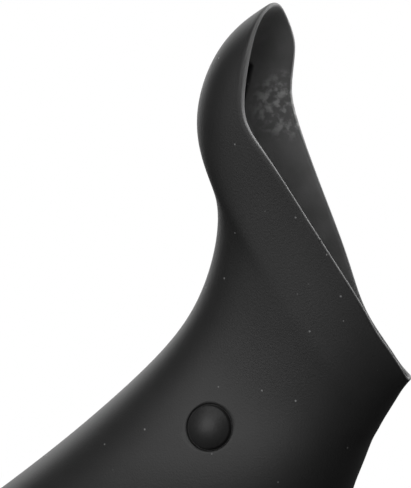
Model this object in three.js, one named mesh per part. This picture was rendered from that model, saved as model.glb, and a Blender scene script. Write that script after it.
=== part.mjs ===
// Hood of a brake lever: one moulded rubber cover, open along its front for the lever and at its foot
// for the handlebar. Millimetres. X points to the lever side, Y across (the button side is -Y), Z up.
// It stands on its flat handlebar mouth, with the middle of its box over the origin.
import * as THREE from "three";

// The wall thins toward the front edge, over the taper length.
const WALL = 1.4;
const RIM_WALL = 0.95;
const RIM_TAPER = 10;
const RIM_EASE = 0.25;

// Fineness of the surface: rows of points, the cells that the button and the pocket take up to each side
// of their middles, and the steps of the searches.
const AROUND = 64;
const FRONT_CROWDING = 0.2;
const DOWN = 32;
const BUTTON_HALF_CELLS = 3;
const POCKET_HALF_COLUMNS = 6;
const POCKET_HALF_ROWS = 2;
const SEARCH = 200;
const HALVINGS = 40;
const PLACE_ROUNDS = 8;
const STEP = 0.01;

// Slices of the closed shape, from the lever opening to the handlebar mouth. Each runs from a point on
// the back to a point on the front, [x, z], with its half width, how much wider it is toward the back,
// and how full its corners are.
const SLICES = [
  { back: [63.1, 124.6], front: [94.3, 48.2], half: 11.7, taper: 5.0, full: 0.5 },
  { back: [54.4, 118.5], front: [92.5, 46.2], half: 12.1, taper: 4.7, full: 0.52 },
  { back: [47.5, 107.2], front: [90.6, 43.8], half: 12.9, taper: 3.2, full: 0.45 },
  { back: [46.6, 96.0], front: [89.3, 41.7], half: 13.2, taper: 2.2, full: 0.35 },
  { back: [50.1, 87.5], front: [87.9, 39.4], half: 13.2, taper: 1.6, full: 0.3 },
  { back: [51.1, 80.3], front: [87.0, 37.9], half: 13.2, taper: 1.6, full: 0.27 },
  { back: [49.6, 70.0], front: [86.1, 36.4], half: 13.4, taper: 1.6, full: 0.25 },
  { back: [44.2, 57.0], front: [84.8, 34.0], half: 14.3, taper: 1.7, full: 0.22 },
  { back: [36.0, 46.6], front: [83.5, 31.6], half: 16.0, taper: 1.8, full: 0.2 },
  { back: [27.3, 38.0], front: [81.7, 27.0], half: 18.2, taper: 1.7, full: 0.17 },
  { back: [17.1, 28.8], front: [79.7, 22.0], half: 20.0, taper: 1.6, full: 0.15 },
  { back: [-19.0, 0], front: [75.6, 0], half: 20.6, taper: 0.8, full: 0.1 },
];
const END_SPREAD = 0.03;

// Front edge seen from the side, [height, x]: on the button side, and on the shorter far side.
const NEAR_EDGE = [
  [38, 93.0], [46, 92.6], [48.5, 92.2], [51.3, 91.1], [53, 90.3], [57.3, 87.8], [61, 86.0], [70, 80.8],
  [82.8, 72.7], [96, 63.8], [101, 60.4], [105, 59.9], [113, 60.5], [126, 61.5],
];
const FAR_EDGE = [
  [40, 93.6], [46, 90.0], [49.5, 86.0], [53, 82.2], [56.9, 78.9], [66, 74.9], [80.3, 68.8], [94.6, 62.5],
  [101, 60.4], [104.3, 60.0], [111, 61.5], [118, 61.0], [126, 60.7],
];
// The edge passes from one outline to the other on the far side of the front, over this range of sin(turn).
const BLEND_FROM = -0.05;
const BLEND_TO = -0.55;

// Round button moulded on the near side, with a fine groove round its foot.
const BUTTON_CENTRE = [54.7, 36.7];
const BUTTON_RADIUS = 4.5;
const BUTTON_HEIGHT = 2.2;
const BUTTON_SHOULDER = 0.5;
const GROOVE_WIDTH = 0.6;
const GROOVE_DEPTH = 0.6;
const DOME_RINGS = [0.88, 0.7];

// Thicker pad inside the back of the head, with a pocket sunk into it. The pocket follows the curve of
// the pad; its half widths are turns from the back, in radians.
const PAD = 2.6;
const PAD_CENTRE = 101;
const PAD_REACH = 22;
const POCKET_DEPTH = 2.2;
const POCKET_HEIGHT = 12;
const POCKET_TOP_TURN = 0.52;
const POCKET_FOOT_TURN = 0.56;
const POCKET_CENTRE = 106.8;
const POCKET_DRAFT = 0.93;
const CORNER_ROUNDING = 0.3;

// Natural cubic spline through values at knots.
function naturalSpline(knots, values) {
  const last = knots.length - 1;
  const bend = new Array(knots.length).fill(0);
  const carry = new Array(knots.length).fill(0);
  for (let i = 1; i < last; i += 1) {
    const before = knots[i] - knots[i - 1];
    const after = knots[i + 1] - knots[i];
    const rise = (values[i + 1] - values[i]) / after - (values[i] - values[i - 1]) / before;
    const pivot = 2 * (before + after) - before * carry[i - 1];
    carry[i] = after / pivot;
    bend[i] = (6 * rise - before * bend[i - 1]) / pivot;
  }
  for (let i = last - 1; i > 0; i -= 1) {
    bend[i] -= carry[i] * bend[i + 1];
  }
  return (at) => {
    let i = 0;
    while (i < last - 1 && at > knots[i + 1]) {
      i += 1;
    }
    const span = knots[i + 1] - knots[i];
    const right = (at - knots[i]) / span;
    const left = 1 - right;
    const curve = (left ** 3 - left) * bend[i] + (right ** 3 - right) * bend[i + 1];
    return left * values[i] + right * values[i + 1] + (curve * span * span) / 6;
  };
}

// Slices are spaced by how far their middles move along the back.
const knots = [0];
for (let i = 1; i < SLICES.length; i += 1) {
  const [x0, z0] = SLICES[i - 1].back;
  const [x1, z1] = SLICES[i].back;
  knots.push(knots[i - 1] + Math.hypot(x1 - x0, z1 - z0));
}
const LENGTH = knots[knots.length - 1];
const along = (pick) => naturalSpline(knots, SLICES.map(pick));
const backX = along((slice) => slice.back[0]);
const backZ = along((slice) => slice.back[1]);
const frontX = along((slice) => slice.front[0]);
const frontZ = along((slice) => slice.front[1]);
const half = along((slice) => slice.half);
const taper = along((slice) => slice.taper);
const full = along((slice) => slice.full);

// Point of the closed outer shape: s runs down from the opening, turn goes round from the back.
function outerPoint(s, turn) {
  const c = Math.cos(turn);
  const n = Math.sin(turn);
  const share = (1 - c * (1 + END_SPREAD * n * n)) / 2;
  const wide = (half(s) + taper(s) * c) * n * (1 + full(s) * c * c);
  const x = backX(s) + (frontX(s) - backX(s)) * share;
  const z = backZ(s) + (frontZ(s) - backZ(s)) * share;
  return new THREE.Vector3(x, -wide, z);
}

function outerNormal(s, turn) {
  const down = outerPoint(s + STEP, turn).sub(outerPoint(s - STEP, turn));
  const round = outerPoint(s, turn + STEP).sub(outerPoint(s, turn - STEP));
  return down.cross(round).normalize();
}

// The front edge cuts the closed shape where it crosses the outlines seen from the side.
const edgeLine = (edge) => naturalSpline(edge.map((point) => point[0]), edge.map((point) => point[1]));
const nearEdge = edgeLine(NEAR_EDGE);
const farEdge = edgeLine(FAR_EDGE);
function rimStart(turn) {
  const side = THREE.MathUtils.smoothstep(Math.sin(turn), BLEND_TO, BLEND_FROM);
  let low = 0;
  let high = LENGTH / 2;
  for (let i = 0; i < HALVINGS; i += 1) {
    const middle = (low + high) / 2;
    const point = outerPoint(middle, turn);
    const edge = side * nearEdge(point.z) + (1 - side) * farEdge(point.z);
    if (point.x > edge) {
      low = middle;
    } else {
      high = middle;
    }
  }
  return low;
}

function innerPoint(s, turn, fromRim = RIM_TAPER) {
  const point = outerPoint(s, turn);
  const back = Math.max(0, Math.cos(turn));
  const level = Math.max(0, 1 - ((point.z - PAD_CENTRE) / PAD_REACH) ** 2);
  const wall = THREE.MathUtils.lerp(RIM_WALL, WALL, Math.min(1, fromRim / RIM_TAPER));
  const thick = wall + PAD * back * back * level * level;
  return point.addScaledVector(outerNormal(s, turn), -thick);
}

// Rows of points on both surfaces, from the front edge down to the handlebar mouth.
const outer = [];
const inner = [];
const turns = [];
const starts = [];
for (let i = 0; i < AROUND; i += 1) {
  const even = (2 * Math.PI * i) / AROUND;
  turns.push(even + FRONT_CROWDING * Math.sin(even));
  starts.push(rimStart(turns[i]));
}
for (let j = 0; j <= DOWN; j += 1) {
  const places = turns.map((turn, i) => [starts[i] + ((LENGTH - starts[i]) * j) / DOWN, turn]);
  outer.push(places.map(([s, turn]) => outerPoint(s, turn)));
  inner.push(places.map(([s, turn], i) => innerPoint(s, turn, s - starts[i])));
}
// The mouth is cut flat, so its inner ring is moved level instead of square to the wall.
turns.forEach((turn, i) => {
  const lean = outerNormal(LENGTH, turn).setZ(0);
  inner[DOWN][i].copy(outer[DOWN][i]).addScaledVector(lean, -WALL / lean.lengthSq());
});

const corners = [];
function cell(a, b, c, d, inward) {
  const order = inward ? [a, b, c, a, c, d] : [a, d, c, a, c, b];
  order.forEach((point) => corners.push(point.x, point.y, point.z));
}
function strip(first, second, inward) {
  first.forEach((point, i) => {
    const next = (i + 1) % first.length;
    cell(point, first[next], second[next], second[i], inward);
  });
}

// Level frame on a surface, to place points by their distances from a centre.
function frameOn(grid, surface, s, turn) {
  const origin = surface(s, turn);
  const round = surface(s, turn + STEP).sub(surface(s, turn - STEP)).normalize();
  const axis = surface(s + STEP, turn).sub(surface(s - STEP, turn)).cross(round).normalize();
  const down = round.clone().cross(axis);
  const flat = (point) => {
    const from = point.clone().sub(origin);
    return [from.dot(round), from.dot(down)];
  };
  const at = (x, y, lift) => {
    let place = [s, turn];
    for (let i = 0; i < PLACE_ROUNDS; i += 1) {
      const here = flat(surface(...place));
      const bySlice = flat(surface(place[0] + STEP, place[1]));
      const byTurn = flat(surface(place[0], place[1] + STEP));
      const [a, c] = [bySlice[0] - here[0], bySlice[1] - here[1]];
      const [b, d] = [byTurn[0] - here[0], byTurn[1] - here[1]];
      const [p, q] = [(x - here[0]) * STEP, (y - here[1]) * STEP];
      const spread = a * d - b * c;
      place = [place[0] + (d * p - b * q) / spread, place[1] + (a * q - c * p) / spread];
    }
    return surface(...place).addScaledVector(axis, lift);
  };
  return { of: (row, column) => flat(grid[row][column]), at };
}

// A block of grid cells gives way to rings that close in on an outline, and a cap inside the last ring.
function patch(grid, block, inward, frame, outline, rings, capLift) {
  const { top, left, rows, columns } = block;
  const place = (i, j) => outline((2 * i) / columns - 1, (2 * j) / rows - 1);
  const square = [];
  for (let i = 0; i < columns; i += 1) {
    square.push([i, 0]);
  }
  for (let j = 0; j < rows; j += 1) {
    square.push([columns, j]);
  }
  for (let i = columns; i > 0; i -= 1) {
    square.push([i, rows]);
  }
  for (let j = rows; j > 0; j -= 1) {
    square.push([0, j]);
  }
  const edge = square.map(([i, j]) => [top + j, (left + i + AROUND) % AROUND]);
  const border = edge.map(([row, column]) => grid[row][column]);
  const outlined = square.map(([i, j]) => place(i, j));
  const between = outlined.map(([x, y], k) => {
    const [u, v] = frame.of(...edge[k]);
    return frame.at((u + x * rings[0][0]) / 2, (v + y * rings[0][0]) / 2, 0);
  });
  const loops = [border, between];
  rings.forEach(([scale, lift]) => {
    loops.push(outlined.map(([x, y]) => frame.at(x * scale, y * scale, lift)));
  });
  for (let k = 1; k < loops.length; k += 1) {
    strip(loops[k - 1], loops[k], inward);
  }
  const [capScale] = rings[rings.length - 1];
  const capPoint = (i, j) => {
    const found = square.findIndex(([u, v]) => u === i && v === j);
    if (found >= 0) {
      return loops[loops.length - 1][found];
    }
    const [x, y] = place(i, j);
    return frame.at(x * capScale, y * capScale, capLift(x * capScale, y * capScale));
  };
  for (let j = 0; j < rows; j += 1) {
    for (let i = 0; i < columns; i += 1) {
      cell(capPoint(i, j), capPoint(i + 1, j), capPoint(i + 1, j + 1), capPoint(i, j + 1), inward);
    }
  }
}

function inBlock(block, row, column) {
  const across = (column - block.left + AROUND) % AROUND;
  return row >= block.top && row < block.top + block.rows && across < block.columns;
}
function skin(grid, block, inward) {
  for (let j = 0; j < DOWN; j += 1) {
    for (let i = 0; i < AROUND; i += 1) {
      if (!inBlock(block, j, i)) {
        const next = (i + 1) % AROUND;
        cell(grid[j][i], grid[j][next], grid[j + 1][next], grid[j + 1][i], inward);
      }
    }
  }
}

// Where on the closed shape a point seen from the side lies.
function findPlace(turnLow, turnHigh, x, z) {
  let best = [0, 0];
  let nearest = Infinity;
  for (let i = 0; i <= SEARCH; i += 1) {
    for (let j = 0; j <= SEARCH; j += 1) {
      const s = (LENGTH * i) / SEARCH;
      const turn = turnLow + ((turnHigh - turnLow) * j) / SEARCH;
      const point = outerPoint(s, turn);
      const off = Math.hypot(point.x - x, point.z - z);
      if (off < nearest) {
        nearest = off;
        best = [s, turn];
      }
    }
  }
  return best;
}
function blockAt(grid, place, halfColumns, halfRows) {
  let best = { off: Infinity };
  grid.forEach((row, j) => {
    row.forEach((point, i) => {
      const off = point.distanceTo(place);
      if (off < best.off) {
        best = { off, row: j, column: i };
      }
    });
  });
  return {
    top: best.row - halfRows,
    left: (best.column - halfColumns + AROUND) % AROUND,
    rows: 2 * halfRows,
    columns: 2 * halfColumns,
  };
}

const round = (a, b) => [a * Math.sqrt(1 - (b * b) / 2), b * Math.sqrt(1 - (a * a) / 2)];
const buttonPlace = findPlace(Math.PI / 4, (3 * Math.PI) / 4, ...BUTTON_CENTRE);
const buttonBlock = blockAt(outer, outerPoint(...buttonPlace), BUTTON_HALF_CELLS, BUTTON_HALF_CELLS);
const buttonRings = [
  [BUTTON_RADIUS + GROOVE_WIDTH, 0],
  [BUTTON_RADIUS + GROOVE_WIDTH / 2, -GROOVE_DEPTH],
  [BUTTON_RADIUS, BUTTON_SHOULDER],
];
const domeLift = (radius) => {
  const rise = BUTTON_HEIGHT - BUTTON_SHOULDER;
  return BUTTON_SHOULDER + rise * (1 - (radius / BUTTON_RADIUS) ** 2);
};
DOME_RINGS.forEach((share) => {
  buttonRings.push([BUTTON_RADIUS * share, domeLift(BUTTON_RADIUS * share)]);
});
const buttonFrame = frameOn(outer, outerPoint, ...buttonPlace);
patch(outer, buttonBlock, false, buttonFrame, round, buttonRings, (x, y) => domeLift(Math.hypot(x, y)));

// The pocket is laid out by its turn and its distance along the back, and has rounded corners.
let pocketStart = 0;
while (innerPoint(pocketStart, 0).z > POCKET_CENTRE) {
  pocketStart += STEP;
}
const pocketMiddle = innerPoint(pocketStart, 0);
const pocketBlock = blockAt(inner, pocketMiddle, POCKET_HALF_COLUMNS, POCKET_HALF_ROWS);
const pocketOutline = (a, b) => {
  const [x, y] = round(a, b).map((value, i) => THREE.MathUtils.lerp([a, b][i], value, CORNER_ROUNDING));
  const wide = THREE.MathUtils.lerp(POCKET_TOP_TURN, POCKET_FOOT_TURN, (y + 1) / 2);
  return [x * wide, (y * POCKET_HEIGHT) / 2];
};
const pocketRings = [
  [1, 0],
  [POCKET_DRAFT, POCKET_DEPTH],
];
const pocketFrame = {
  of: (row, column) => {
    const turn = turns[column] > Math.PI ? turns[column] - 2 * Math.PI : turns[column];
    return [turn, starts[column] + ((LENGTH - starts[column]) * row) / DOWN - pocketStart];
  },
  at: (turn, down, lift) => {
    const s = pocketStart + down;
    return innerPoint(s, turn).addScaledVector(outerNormal(s, turn), lift);
  },
};
patch(inner, pocketBlock, true, pocketFrame, pocketOutline, pocketRings, () => POCKET_DEPTH);

skin(outer, buttonBlock, false);
skin(inner, pocketBlock, true);

// Front edge: the end of the wall with its two corners eased.
const easedOuter = [];
const easedInner = [];
for (let i = 0; i < AROUND; i += 1) {
  const ahead = outer[0][(i + 1) % AROUND];
  const behind = outer[0][(i + AROUND - 1) % AROUND];
  const normal = outerNormal(starts[i], turns[i]);
  const off = normal.clone().cross(ahead.clone().sub(behind)).normalize();
  easedOuter.push(outer[0][i].clone().addScaledVector(off, RIM_EASE).addScaledVector(normal, -RIM_EASE));
  easedInner.push(inner[0][i].clone().addScaledVector(off, RIM_EASE).addScaledVector(normal, RIM_EASE));
}
strip(inner[0], easedInner, false);
strip(easedInner, easedOuter, false);
strip(easedOuter, outer[0], false);
strip(outer[DOWN], inner[DOWN], false);

const geometry = new THREE.BufferGeometry();
geometry.setAttribute("position", new THREE.Float32BufferAttribute(corners, 3));
geometry.computeBoundingBox();
const middle = geometry.boundingBox.getCenter(new THREE.Vector3());
geometry.translate(-middle.x, -middle.y, 0);
geometry.computeVertexNormals();

const rubber = new THREE.MeshStandardMaterial({ color: 0x383838, roughness: 0.6, metalness: 0 });
const hood = new THREE.Mesh(geometry, rubber);
hood.name = "lever_hood";

const part = new THREE.Group();
part.add(hood);
export default part;
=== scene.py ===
# Rubber hood of a brake lever, standing on its handlebar mouth in a pale studio.
# Metres, +Z up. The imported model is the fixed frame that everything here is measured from.
import math

import bmesh
import bpy
from mathutils import Matrix, Vector


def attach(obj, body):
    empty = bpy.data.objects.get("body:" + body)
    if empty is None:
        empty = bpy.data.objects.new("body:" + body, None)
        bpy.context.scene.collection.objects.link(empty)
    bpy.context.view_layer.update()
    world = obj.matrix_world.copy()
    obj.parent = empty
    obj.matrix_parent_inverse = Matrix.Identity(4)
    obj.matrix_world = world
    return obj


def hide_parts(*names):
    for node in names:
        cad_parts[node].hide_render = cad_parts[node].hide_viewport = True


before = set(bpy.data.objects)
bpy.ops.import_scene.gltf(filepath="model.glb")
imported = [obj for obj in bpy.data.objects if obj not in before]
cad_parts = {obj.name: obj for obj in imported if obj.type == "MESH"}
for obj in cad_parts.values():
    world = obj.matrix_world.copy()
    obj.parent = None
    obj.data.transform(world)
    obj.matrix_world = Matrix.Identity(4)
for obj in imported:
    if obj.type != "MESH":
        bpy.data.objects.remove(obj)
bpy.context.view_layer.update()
MM = 0.001

# The hood is one piece of moulded black rubber, open at the front of its horn and at the handlebar end.
# It is pulled over the lever body and stays on by its own stretch. The side wall carries a small
# round button with a fine groove at its foot, and a bead of flash was left on the front edge.
MERGE_DISTANCE = 0.001 * MM
ROWS_PREFERENCE = 2.0
FLAT_MOUTH = 0.01 * MM
LEVEL_FACE = 0.999
SMOOTH_ANGLE = math.radians(30)
EDGE_SHARPNESS = 0.55
SMOOTHING_LEVELS = 2
BUTTON_CENTRE = Vector((17.8, -17.2, 36.6)) * MM
BUTTON_REACH = 6.5 * MM
POCKET_FLOOR = Vector((11.7, 0, 107.5)) * MM
FLASH_PLACE = Vector((40.2, -11.9, 76.9)) * MM
FLASH_RADIUS = 0.32 * MM


def smooth_region(start):
    """Faces reached from a first face without crossing an edge sharper than the smooth angle."""
    reached = {start}
    waiting = [start]
    while waiting:
        face = waiting.pop()
        for edge in face.edges:
            if edge.calc_face_angle(math.pi) > SMOOTH_ANGLE:
                continue
            for other in edge.link_faces:
                if other not in reached:
                    reached.add(other)
                    waiting.append(other)
    return reached


hood_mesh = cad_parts["lever_hood"].data.copy()
hood_mesh.name = "hood_skin"
shell = bmesh.new()
shell.from_mesh(hood_mesh)
bmesh.ops.remove_doubles(shell, verts=shell.verts, dist=MERGE_DISTANCE)
bmesh.ops.join_triangles(
    shell,
    faces=shell.faces,
    angle_face_threshold=math.pi,
    angle_shape_threshold=math.pi,
    topology_influence=ROWS_PREFERENCE,
)
shell.normal_update()

# The mesh carries two masks for painted light in the rubber's colour: 1 inside the hood, which is
# painted paler, and 1 on the floor of the horn's pocket, which is darkened with painted shade.
outer_skin = smooth_region(max(shell.faces, key=lambda face: face.calc_center_median().y))
pocket_floor = smooth_region(
    min(shell.faces, key=lambda face: (face.calc_center_median() - POCKET_FLOOR).length)
)
inside = shell.verts.layers.float.new("inside")
pocket_shade_mask = shell.verts.layers.float.new("pocket_shade_mask")
for vert in shell.verts:
    by_button = (vert.co - BUTTON_CENTRE).length < BUTTON_REACH
    if not by_button and not any(face in outer_skin for face in vert.link_faces):
        vert[inside] = 1.0
for face in pocket_floor:
    for vert in face.verts:
        vert[pocket_shade_mask] = 1.0

# The mouth's two edges stay sharp, and every other edge is slightly rounded.
crease = shell.edges.layers.float.new("crease_edge")
for edge in shell.edges:
    on_mouth = all(abs(vert.co.z) < FLAT_MOUTH for vert in edge.verts)
    across_mouth = all(abs(face.normal.z) > LEVEL_FACE for face in edge.link_faces)
    if on_mouth and not across_mouth:
        edge[crease] = 1.0
    elif edge.calc_face_angle(0) > SMOOTH_ANGLE:
        edge[crease] = EDGE_SHARPNESS
bmesh.ops.create_icosphere(
    shell,
    subdivisions=1,
    radius=FLASH_RADIUS,
    matrix=Matrix.Translation(FLASH_PLACE),
)
for face in shell.faces:
    face.smooth = True
shell.to_mesh(hood_mesh)
shell.free()

hood = bpy.data.objects.new("hood", hood_mesh)
bpy.context.scene.collection.objects.link(hood)
smoothing = hood.modifiers.new("moulded surface", "SUBSURF")
smoothing.levels = SMOOTHING_LEVELS
smoothing.render_levels = SMOOTHING_LEVELS

# Moulded rubber takes a fine grain from the mould, with faint cloudy patches.
# A pattern's scale is a count of its features in a metre.
GRAIN_RELIEF = 0.05 * MM
GRAIN_SCALE = 2600
GRAIN_DETAIL = 2
CLOUD_SCALE = 160
CLOUD_DETAIL = 4
CLOUD_EDGE = (0.3, 0.7)


def noise(tree, scale, detail):
    """Noise read at the piece's own coordinates, in metres."""
    place = tree.nodes.new("ShaderNodeTexCoord")
    texture = tree.nodes.new("ShaderNodeTexNoise")
    texture.inputs["Scale"].default_value = scale
    texture.inputs["Detail"].default_value = detail
    tree.links.new(place.outputs["Object"], texture.inputs["Vector"])
    return texture.outputs["Fac"]


def smooth_step(tree, value, low, high):
    """A smooth step from 0 to 1 while the value goes from low to high."""
    node = tree.nodes.new("ShaderNodeMapRange")
    node.interpolation_type = "SMOOTHSTEP"
    node.inputs["From Min"].default_value = low
    node.inputs["From Max"].default_value = high
    tree.links.new(value, node.inputs["Value"])
    return node.outputs["Result"]


grain = bpy.data.node_groups.new("mould grain", "ShaderNodeTree")
grain.interface.new_socket("Depth", in_out="INPUT", socket_type="NodeSocketFloat")
grain.interface.new_socket("Normal", in_out="OUTPUT", socket_type="NodeSocketVector")
grain.interface.new_socket("Clouds", in_out="OUTPUT", socket_type="NodeSocketFloat")
grain_in = grain.nodes.new("NodeGroupInput")
grain_out = grain.nodes.new("NodeGroupOutput")
relief = grain.nodes.new("ShaderNodeBump")
relief.inputs["Distance"].default_value = GRAIN_RELIEF
grain.links.new(grain_in.outputs["Depth"], relief.inputs["Strength"])
grain.links.new(noise(grain, GRAIN_SCALE, GRAIN_DETAIL), relief.inputs["Height"])
grain.links.new(relief.outputs["Normal"], grain_out.inputs["Normal"])
clouds = smooth_step(grain, noise(grain, CLOUD_SCALE, CLOUD_DETAIL), *CLOUD_EDGE)
grain.links.new(clouds, grain_out.inputs["Clouds"])

# Loose dust sits on the rubber as sparse pale specks, each a fraction of a millimetre wide.
# A share of the cells of a cell pattern has a speck at its middle.
DUST_SCALE = 320
SPECK_EDGE = (0.04, 0.085)


def calculate(tree, operation, *values):
    """A calculation on sockets or numbers."""
    node = tree.nodes.new("ShaderNodeMath")
    node.operation = operation
    for socket, value in zip(node.inputs, values):
        if isinstance(value, bpy.types.NodeSocket):
            tree.links.new(value, socket)
        else:
            socket.default_value = value
    return node.outputs[0]


dust = bpy.data.node_groups.new("dust specks", "ShaderNodeTree")
dust.interface.new_socket("Share", in_out="INPUT", socket_type="NodeSocketFloat")
dust.interface.new_socket("Specks", in_out="OUTPUT", socket_type="NodeSocketFloat")
dust_in = dust.nodes.new("NodeGroupInput")
dust_out = dust.nodes.new("NodeGroupOutput")
dust_place = dust.nodes.new("ShaderNodeTexCoord")
cells = dust.nodes.new("ShaderNodeTexVoronoi")
cells.inputs["Scale"].default_value = DUST_SCALE
dust.links.new(dust_place.outputs["Object"], cells.inputs["Vector"])
off_middle = smooth_step(dust, cells.outputs["Distance"], *SPECK_EDGE)
draw = dust.nodes.new("ShaderNodeSeparateColor")
dust.links.new(cells.outputs["Color"], draw.inputs["Color"])
chosen = calculate(dust, "LESS_THAN", draw.outputs["Red"], dust_in.outputs["Share"])
speck = calculate(dust, "MULTIPLY", calculate(dust, "SUBTRACT", 1.0, off_middle), chosen)
dust.links.new(speck, dust_out.inputs["Specks"])

# One rubber covers the whole hood. Its inside is painted paler than its outside, as painted light for
# the studio light that hardly gets in. The horn's far inner wall is crinkled in one patch, with the
# crinkles painted as pale flecks, a painted highlight, and the floor of its pocket is darkened with
# painted shade.
ROUGHNESS = 0.5
GRAIN_DEPTH = 0.7
DUST_SHARE = 0.45
PATCH_CENTRE = Vector((23.5, 12.0, 100.0)) * MM
PATCH_CORE = 3.6 * MM
PATCH_REACH = 9.0 * MM
CRINKLE_SCALE = 620
CRINKLE_DETAIL = 6
CRINKLE_EDGE = (0.42, 0.68)
OUTER_SHADE = 0.019
OUTER_CLOUDS = 0.002
# Painted light: the inside is given a far paler colour than the black rubber has, for light that hardly
# gets in.
INNER_PAINTED_LIGHT_SHADE = 0.17
INNER_CLOUDS = 0.05
# Painted highlight: pale flecks on the crinkled patch, where the crinkled rubber catches light.
CRINKLE_PAINTED_HIGHLIGHT = 0.35
SPECK_SHADE = 0.22
# Painted shade: the pocket floor's colour is darkened almost to black.
POCKET_PAINTED_SHADE = 0.95
rubber = bpy.data.materials.new("moulded black rubber")
rubber.use_nodes = True
tree = rubber.node_tree
surface = tree.nodes["Principled BSDF"]
surface.inputs["Roughness"].default_value = ROUGHNESS


def own_value(name):
    """One of the mesh's own values."""
    node = tree.nodes.new("ShaderNodeAttribute")
    node.attribute_name = name
    return node.outputs["Fac"]


skin = tree.nodes.new("ShaderNodeGroup")
skin.node_tree = grain
skin.inputs["Depth"].default_value = GRAIN_DEPTH
loose = tree.nodes.new("ShaderNodeGroup")
loose.node_tree = dust
loose.inputs["Share"].default_value = DUST_SHARE
where = tree.nodes.new("ShaderNodeTexCoord")
from_patch = tree.nodes.new("ShaderNodeVectorMath")
from_patch.operation = "DISTANCE"
from_patch.inputs[1].default_value = PATCH_CENTRE
tree.links.new(where.outputs["Object"], from_patch.inputs[0])
off_patch = smooth_step(tree, from_patch.outputs["Value"], PATCH_CORE, PATCH_REACH)
crinkles = smooth_step(tree, noise(tree, CRINKLE_SCALE, CRINKLE_DETAIL), *CRINKLE_EDGE)
is_inside = own_value("inside")
on_patch = calculate(tree, "MULTIPLY", calculate(tree, "SUBTRACT", 1.0, off_patch), is_inside)
# Painted highlight on the crinkled patch of the far inner wall.
crinkle_highlight = calculate(tree, "MULTIPLY", on_patch, crinkles)
outer_shade = calculate(tree, "MULTIPLY_ADD", skin.outputs["Clouds"], OUTER_CLOUDS, OUTER_SHADE)
inner_painted_light_shade = calculate(tree, "MULTIPLY_ADD", skin.outputs["Clouds"], INNER_CLOUDS, INNER_PAINTED_LIGHT_SHADE)
inner_painted_light_shade = calculate(tree, "MULTIPLY_ADD", crinkle_highlight, CRINKLE_PAINTED_HIGHLIGHT, inner_painted_light_shade)
# Painted light: how much paler the inside is painted than the outside.
painted_inner_light = calculate(tree, "SUBTRACT", inner_painted_light_shade, outer_shade)
shade = calculate(tree, "MULTIPLY_ADD", painted_inner_light, is_inside, outer_shade)
shade = calculate(tree, "MULTIPLY_ADD", loose.outputs["Specks"], SPECK_SHADE, shade)
# Painted shade darkens the floor of the pocket.
unshaded_share = calculate(tree, "MULTIPLY_ADD", own_value("pocket_shade_mask"), -POCKET_PAINTED_SHADE, 1.0)
shade = calculate(tree, "MULTIPLY", shade, unshaded_share)
tint = tree.nodes.new("ShaderNodeCombineColor")
for channel in ("Red", "Green", "Blue"):
    tree.links.new(shade, tint.inputs[channel])
tree.links.new(tint.outputs["Color"], surface.inputs["Base Color"])
tree.links.new(skin.outputs["Normal"], surface.inputs["Normal"])
hood_mesh.materials.clear()
hood_mesh.materials.append(rubber)
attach(hood, "root")
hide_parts("lever_hood")

# The floor is a wide sheet of white paper. The camera sees it with the hood's shadow near the hood, and
# lit to a plain white farther out. The rubber mirrors a dark floor with a glowing card behind the hood.
FLOOR_SIZE = 6.0
PAPER_REACH = (0.055, 0.085)
CARD_EDGE = (0.10, 0.22)
PAPER_SHADE = 0.8
PAPER_ROUGHNESS = 0.9
PAPER_GLOW = 0.4
DARK_PAPER = 0.06


def grey(value):
    """A neutral colour, 1 being white."""
    return (value, value, value, 1)


def mixed(tree, share, first, second):
    """A mix of two shaders, all of the first where the share is 0 and all of the second at 1."""
    mix = tree.nodes.new("ShaderNodeMixShader")
    tree.links.new(share, mix.inputs["Fac"])
    tree.links.new(first, mix.inputs[1])
    tree.links.new(second, mix.inputs[2])
    return mix.outputs["Shader"]


def seen_as(tree, seen, otherwise):
    """One shader where the camera looks straight at it, and another for all other light."""
    path = tree.nodes.new("ShaderNodeLightPath")
    return mixed(tree, path.outputs["Is Camera Ray"], otherwise, seen)


floor_mesh = bpy.data.meshes.new("studio_floor")
sheet = bmesh.new()
bmesh.ops.create_grid(sheet, x_segments=1, y_segments=1, size=FLOOR_SIZE / 2)
sheet.to_mesh(floor_mesh)
sheet.free()
floor = bpy.data.objects.new("studio_floor", floor_mesh)
bpy.context.scene.collection.objects.link(floor)
paper = bpy.data.materials.new("white studio paper")
paper.use_nodes = True
tree = paper.node_tree
lit_paper = tree.nodes["Principled BSDF"]
lit_paper.inputs["Base Color"].default_value = grey(PAPER_SHADE)
lit_paper.inputs["Roughness"].default_value = PAPER_ROUGHNESS
lit_paper.inputs["Emission Color"].default_value = grey(1)
lit_paper.inputs["Emission Strength"].default_value = PAPER_GLOW
plain_white = tree.nodes.new("ShaderNodeEmission")
where = tree.nodes.new("ShaderNodeTexCoord")
from_middle = tree.nodes.new("ShaderNodeVectorMath")
from_middle.operation = "LENGTH"
tree.links.new(where.outputs["Object"], from_middle.inputs[0])
far_out = smooth_step(tree, from_middle.outputs["Value"], *PAPER_REACH)
seen_paper = mixed(tree, far_out, lit_paper.outputs["BSDF"], plain_white.outputs["Emission"])
dark_paper = tree.nodes.new("ShaderNodeBsdfDiffuse")
dark_paper.inputs["Color"].default_value = grey(DARK_PAPER)
card = tree.nodes.new("ShaderNodeEmission")
spot = tree.nodes.new("ShaderNodeSeparateXYZ")
tree.links.new(where.outputs["Object"], spot.inputs["Vector"])
on_card = smooth_step(tree, spot.outputs["Y"], *CARD_EDGE)
mirrored_paper = mixed(tree, on_card, dark_paper.outputs["BSDF"], card.outputs["Emission"])
paper_out = tree.nodes["Material Output"]
tree.links.new(seen_as(tree, seen_paper, mirrored_paper), paper_out.inputs["Surface"])
floor_mesh.materials.append(paper)

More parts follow.
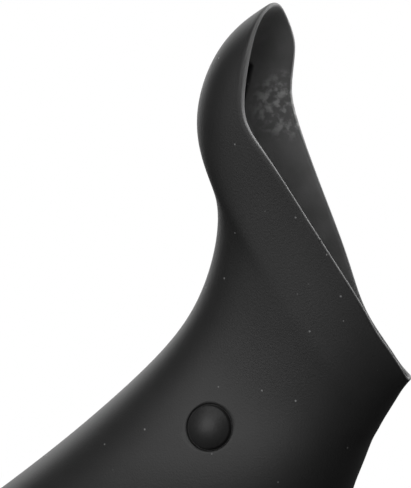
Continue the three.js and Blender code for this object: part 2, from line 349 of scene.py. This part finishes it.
# The room round the floor is plain white to the camera, and dim to the hood, which the lamps light.
ROOM_SHADE = 0.045
world = bpy.data.worlds.new("white studio")
bpy.context.scene.world = world
world.use_nodes = True
tree = world.node_tree
tree.nodes.clear()
backdrop = tree.nodes.new("ShaderNodeBackground")
backdrop.inputs["Color"].default_value = grey(1)
room = tree.nodes.new("ShaderNodeBackground")
room.inputs["Color"].default_value = grey(ROOM_SHADE)
sky = seen_as(tree, backdrop.outputs["Background"], room.outputs["Background"])
sky_out = tree.nodes.new("ShaderNodeOutputWorld")
tree.links.new(sky, sky_out.inputs["Surface"])

# Soft box lamps stand round the hood, each aimed at its middle. Distances and widths are in metres.
LOOK_AT = Vector((9.9, 0, 71.5)) * MM


def direction_from(azimuth, elevation):
    """Direction from the hood to a viewer: azimuth 0 stands on the -Y side, 90 on the +X side."""
    turn, rise = math.radians(azimuth), math.radians(elevation)
    return Vector((math.sin(turn) * math.cos(rise), -math.cos(turn) * math.cos(rise), math.sin(rise)))


def soft_lamp(name, azimuth, elevation, distance, width, brightness):
    """Puts a square soft lamp round the hood, at angles in degrees, facing its middle."""
    lamp = bpy.data.lights.new(name, "AREA")
    lamp.shape = "SQUARE"
    lamp.size = width
    lamp.energy = brightness * math.pi * width * width
    holder = bpy.data.objects.new(name, lamp)
    bpy.context.scene.collection.objects.link(holder)
    away = direction_from(azimuth, elevation)
    holder.location = LOOK_AT + away * distance
    holder.rotation_euler = away.to_track_quat("Z", "Y").to_euler()
    holder.visible_camera = False


soft_lamp("key softbox", -8, 20, 1.0, 1.1, 2.0)
soft_lamp("backdrop glow", -157, 5, 1.2, 2.1, 1.5)
soft_lamp("edge panel", 150, 18, 1.2, 0.8, 2.6)
soft_lamp("top softbox", -60, 75, 1.0, 0.7, 0.9)
soft_lamp("front top fill", 50, 60, 1.0, 0.45, 1.8)

# The camera stands in front and to the button side with a long lens. The frame cuts off the mouth.
IMAGE_HEIGHT = 488
MM_PER_PIXEL = 0.21
DISTANCE = 0.9
SENSOR_WIDTH = 36
VIEW_AZIMUTH = 22.5
VIEW_ELEVATION = 11.7
camera = bpy.data.cameras.new("long lens")
camera.sensor_width = SENSOR_WIDTH
camera.lens = DISTANCE / (IMAGE_HEIGHT * MM_PER_PIXEL * MM) * SENSOR_WIDTH
viewer = bpy.data.objects.new("long lens", camera)
bpy.context.scene.collection.objects.link(viewer)
away = direction_from(VIEW_AZIMUTH, VIEW_ELEVATION)
viewer.location = LOOK_AT + away * DISTANCE
viewer.rotation_euler = away.to_track_quat("Z", "Y").to_euler()
bpy.context.scene.camera = viewer
bpy.context.scene.view_settings.view_transform = "Standard"
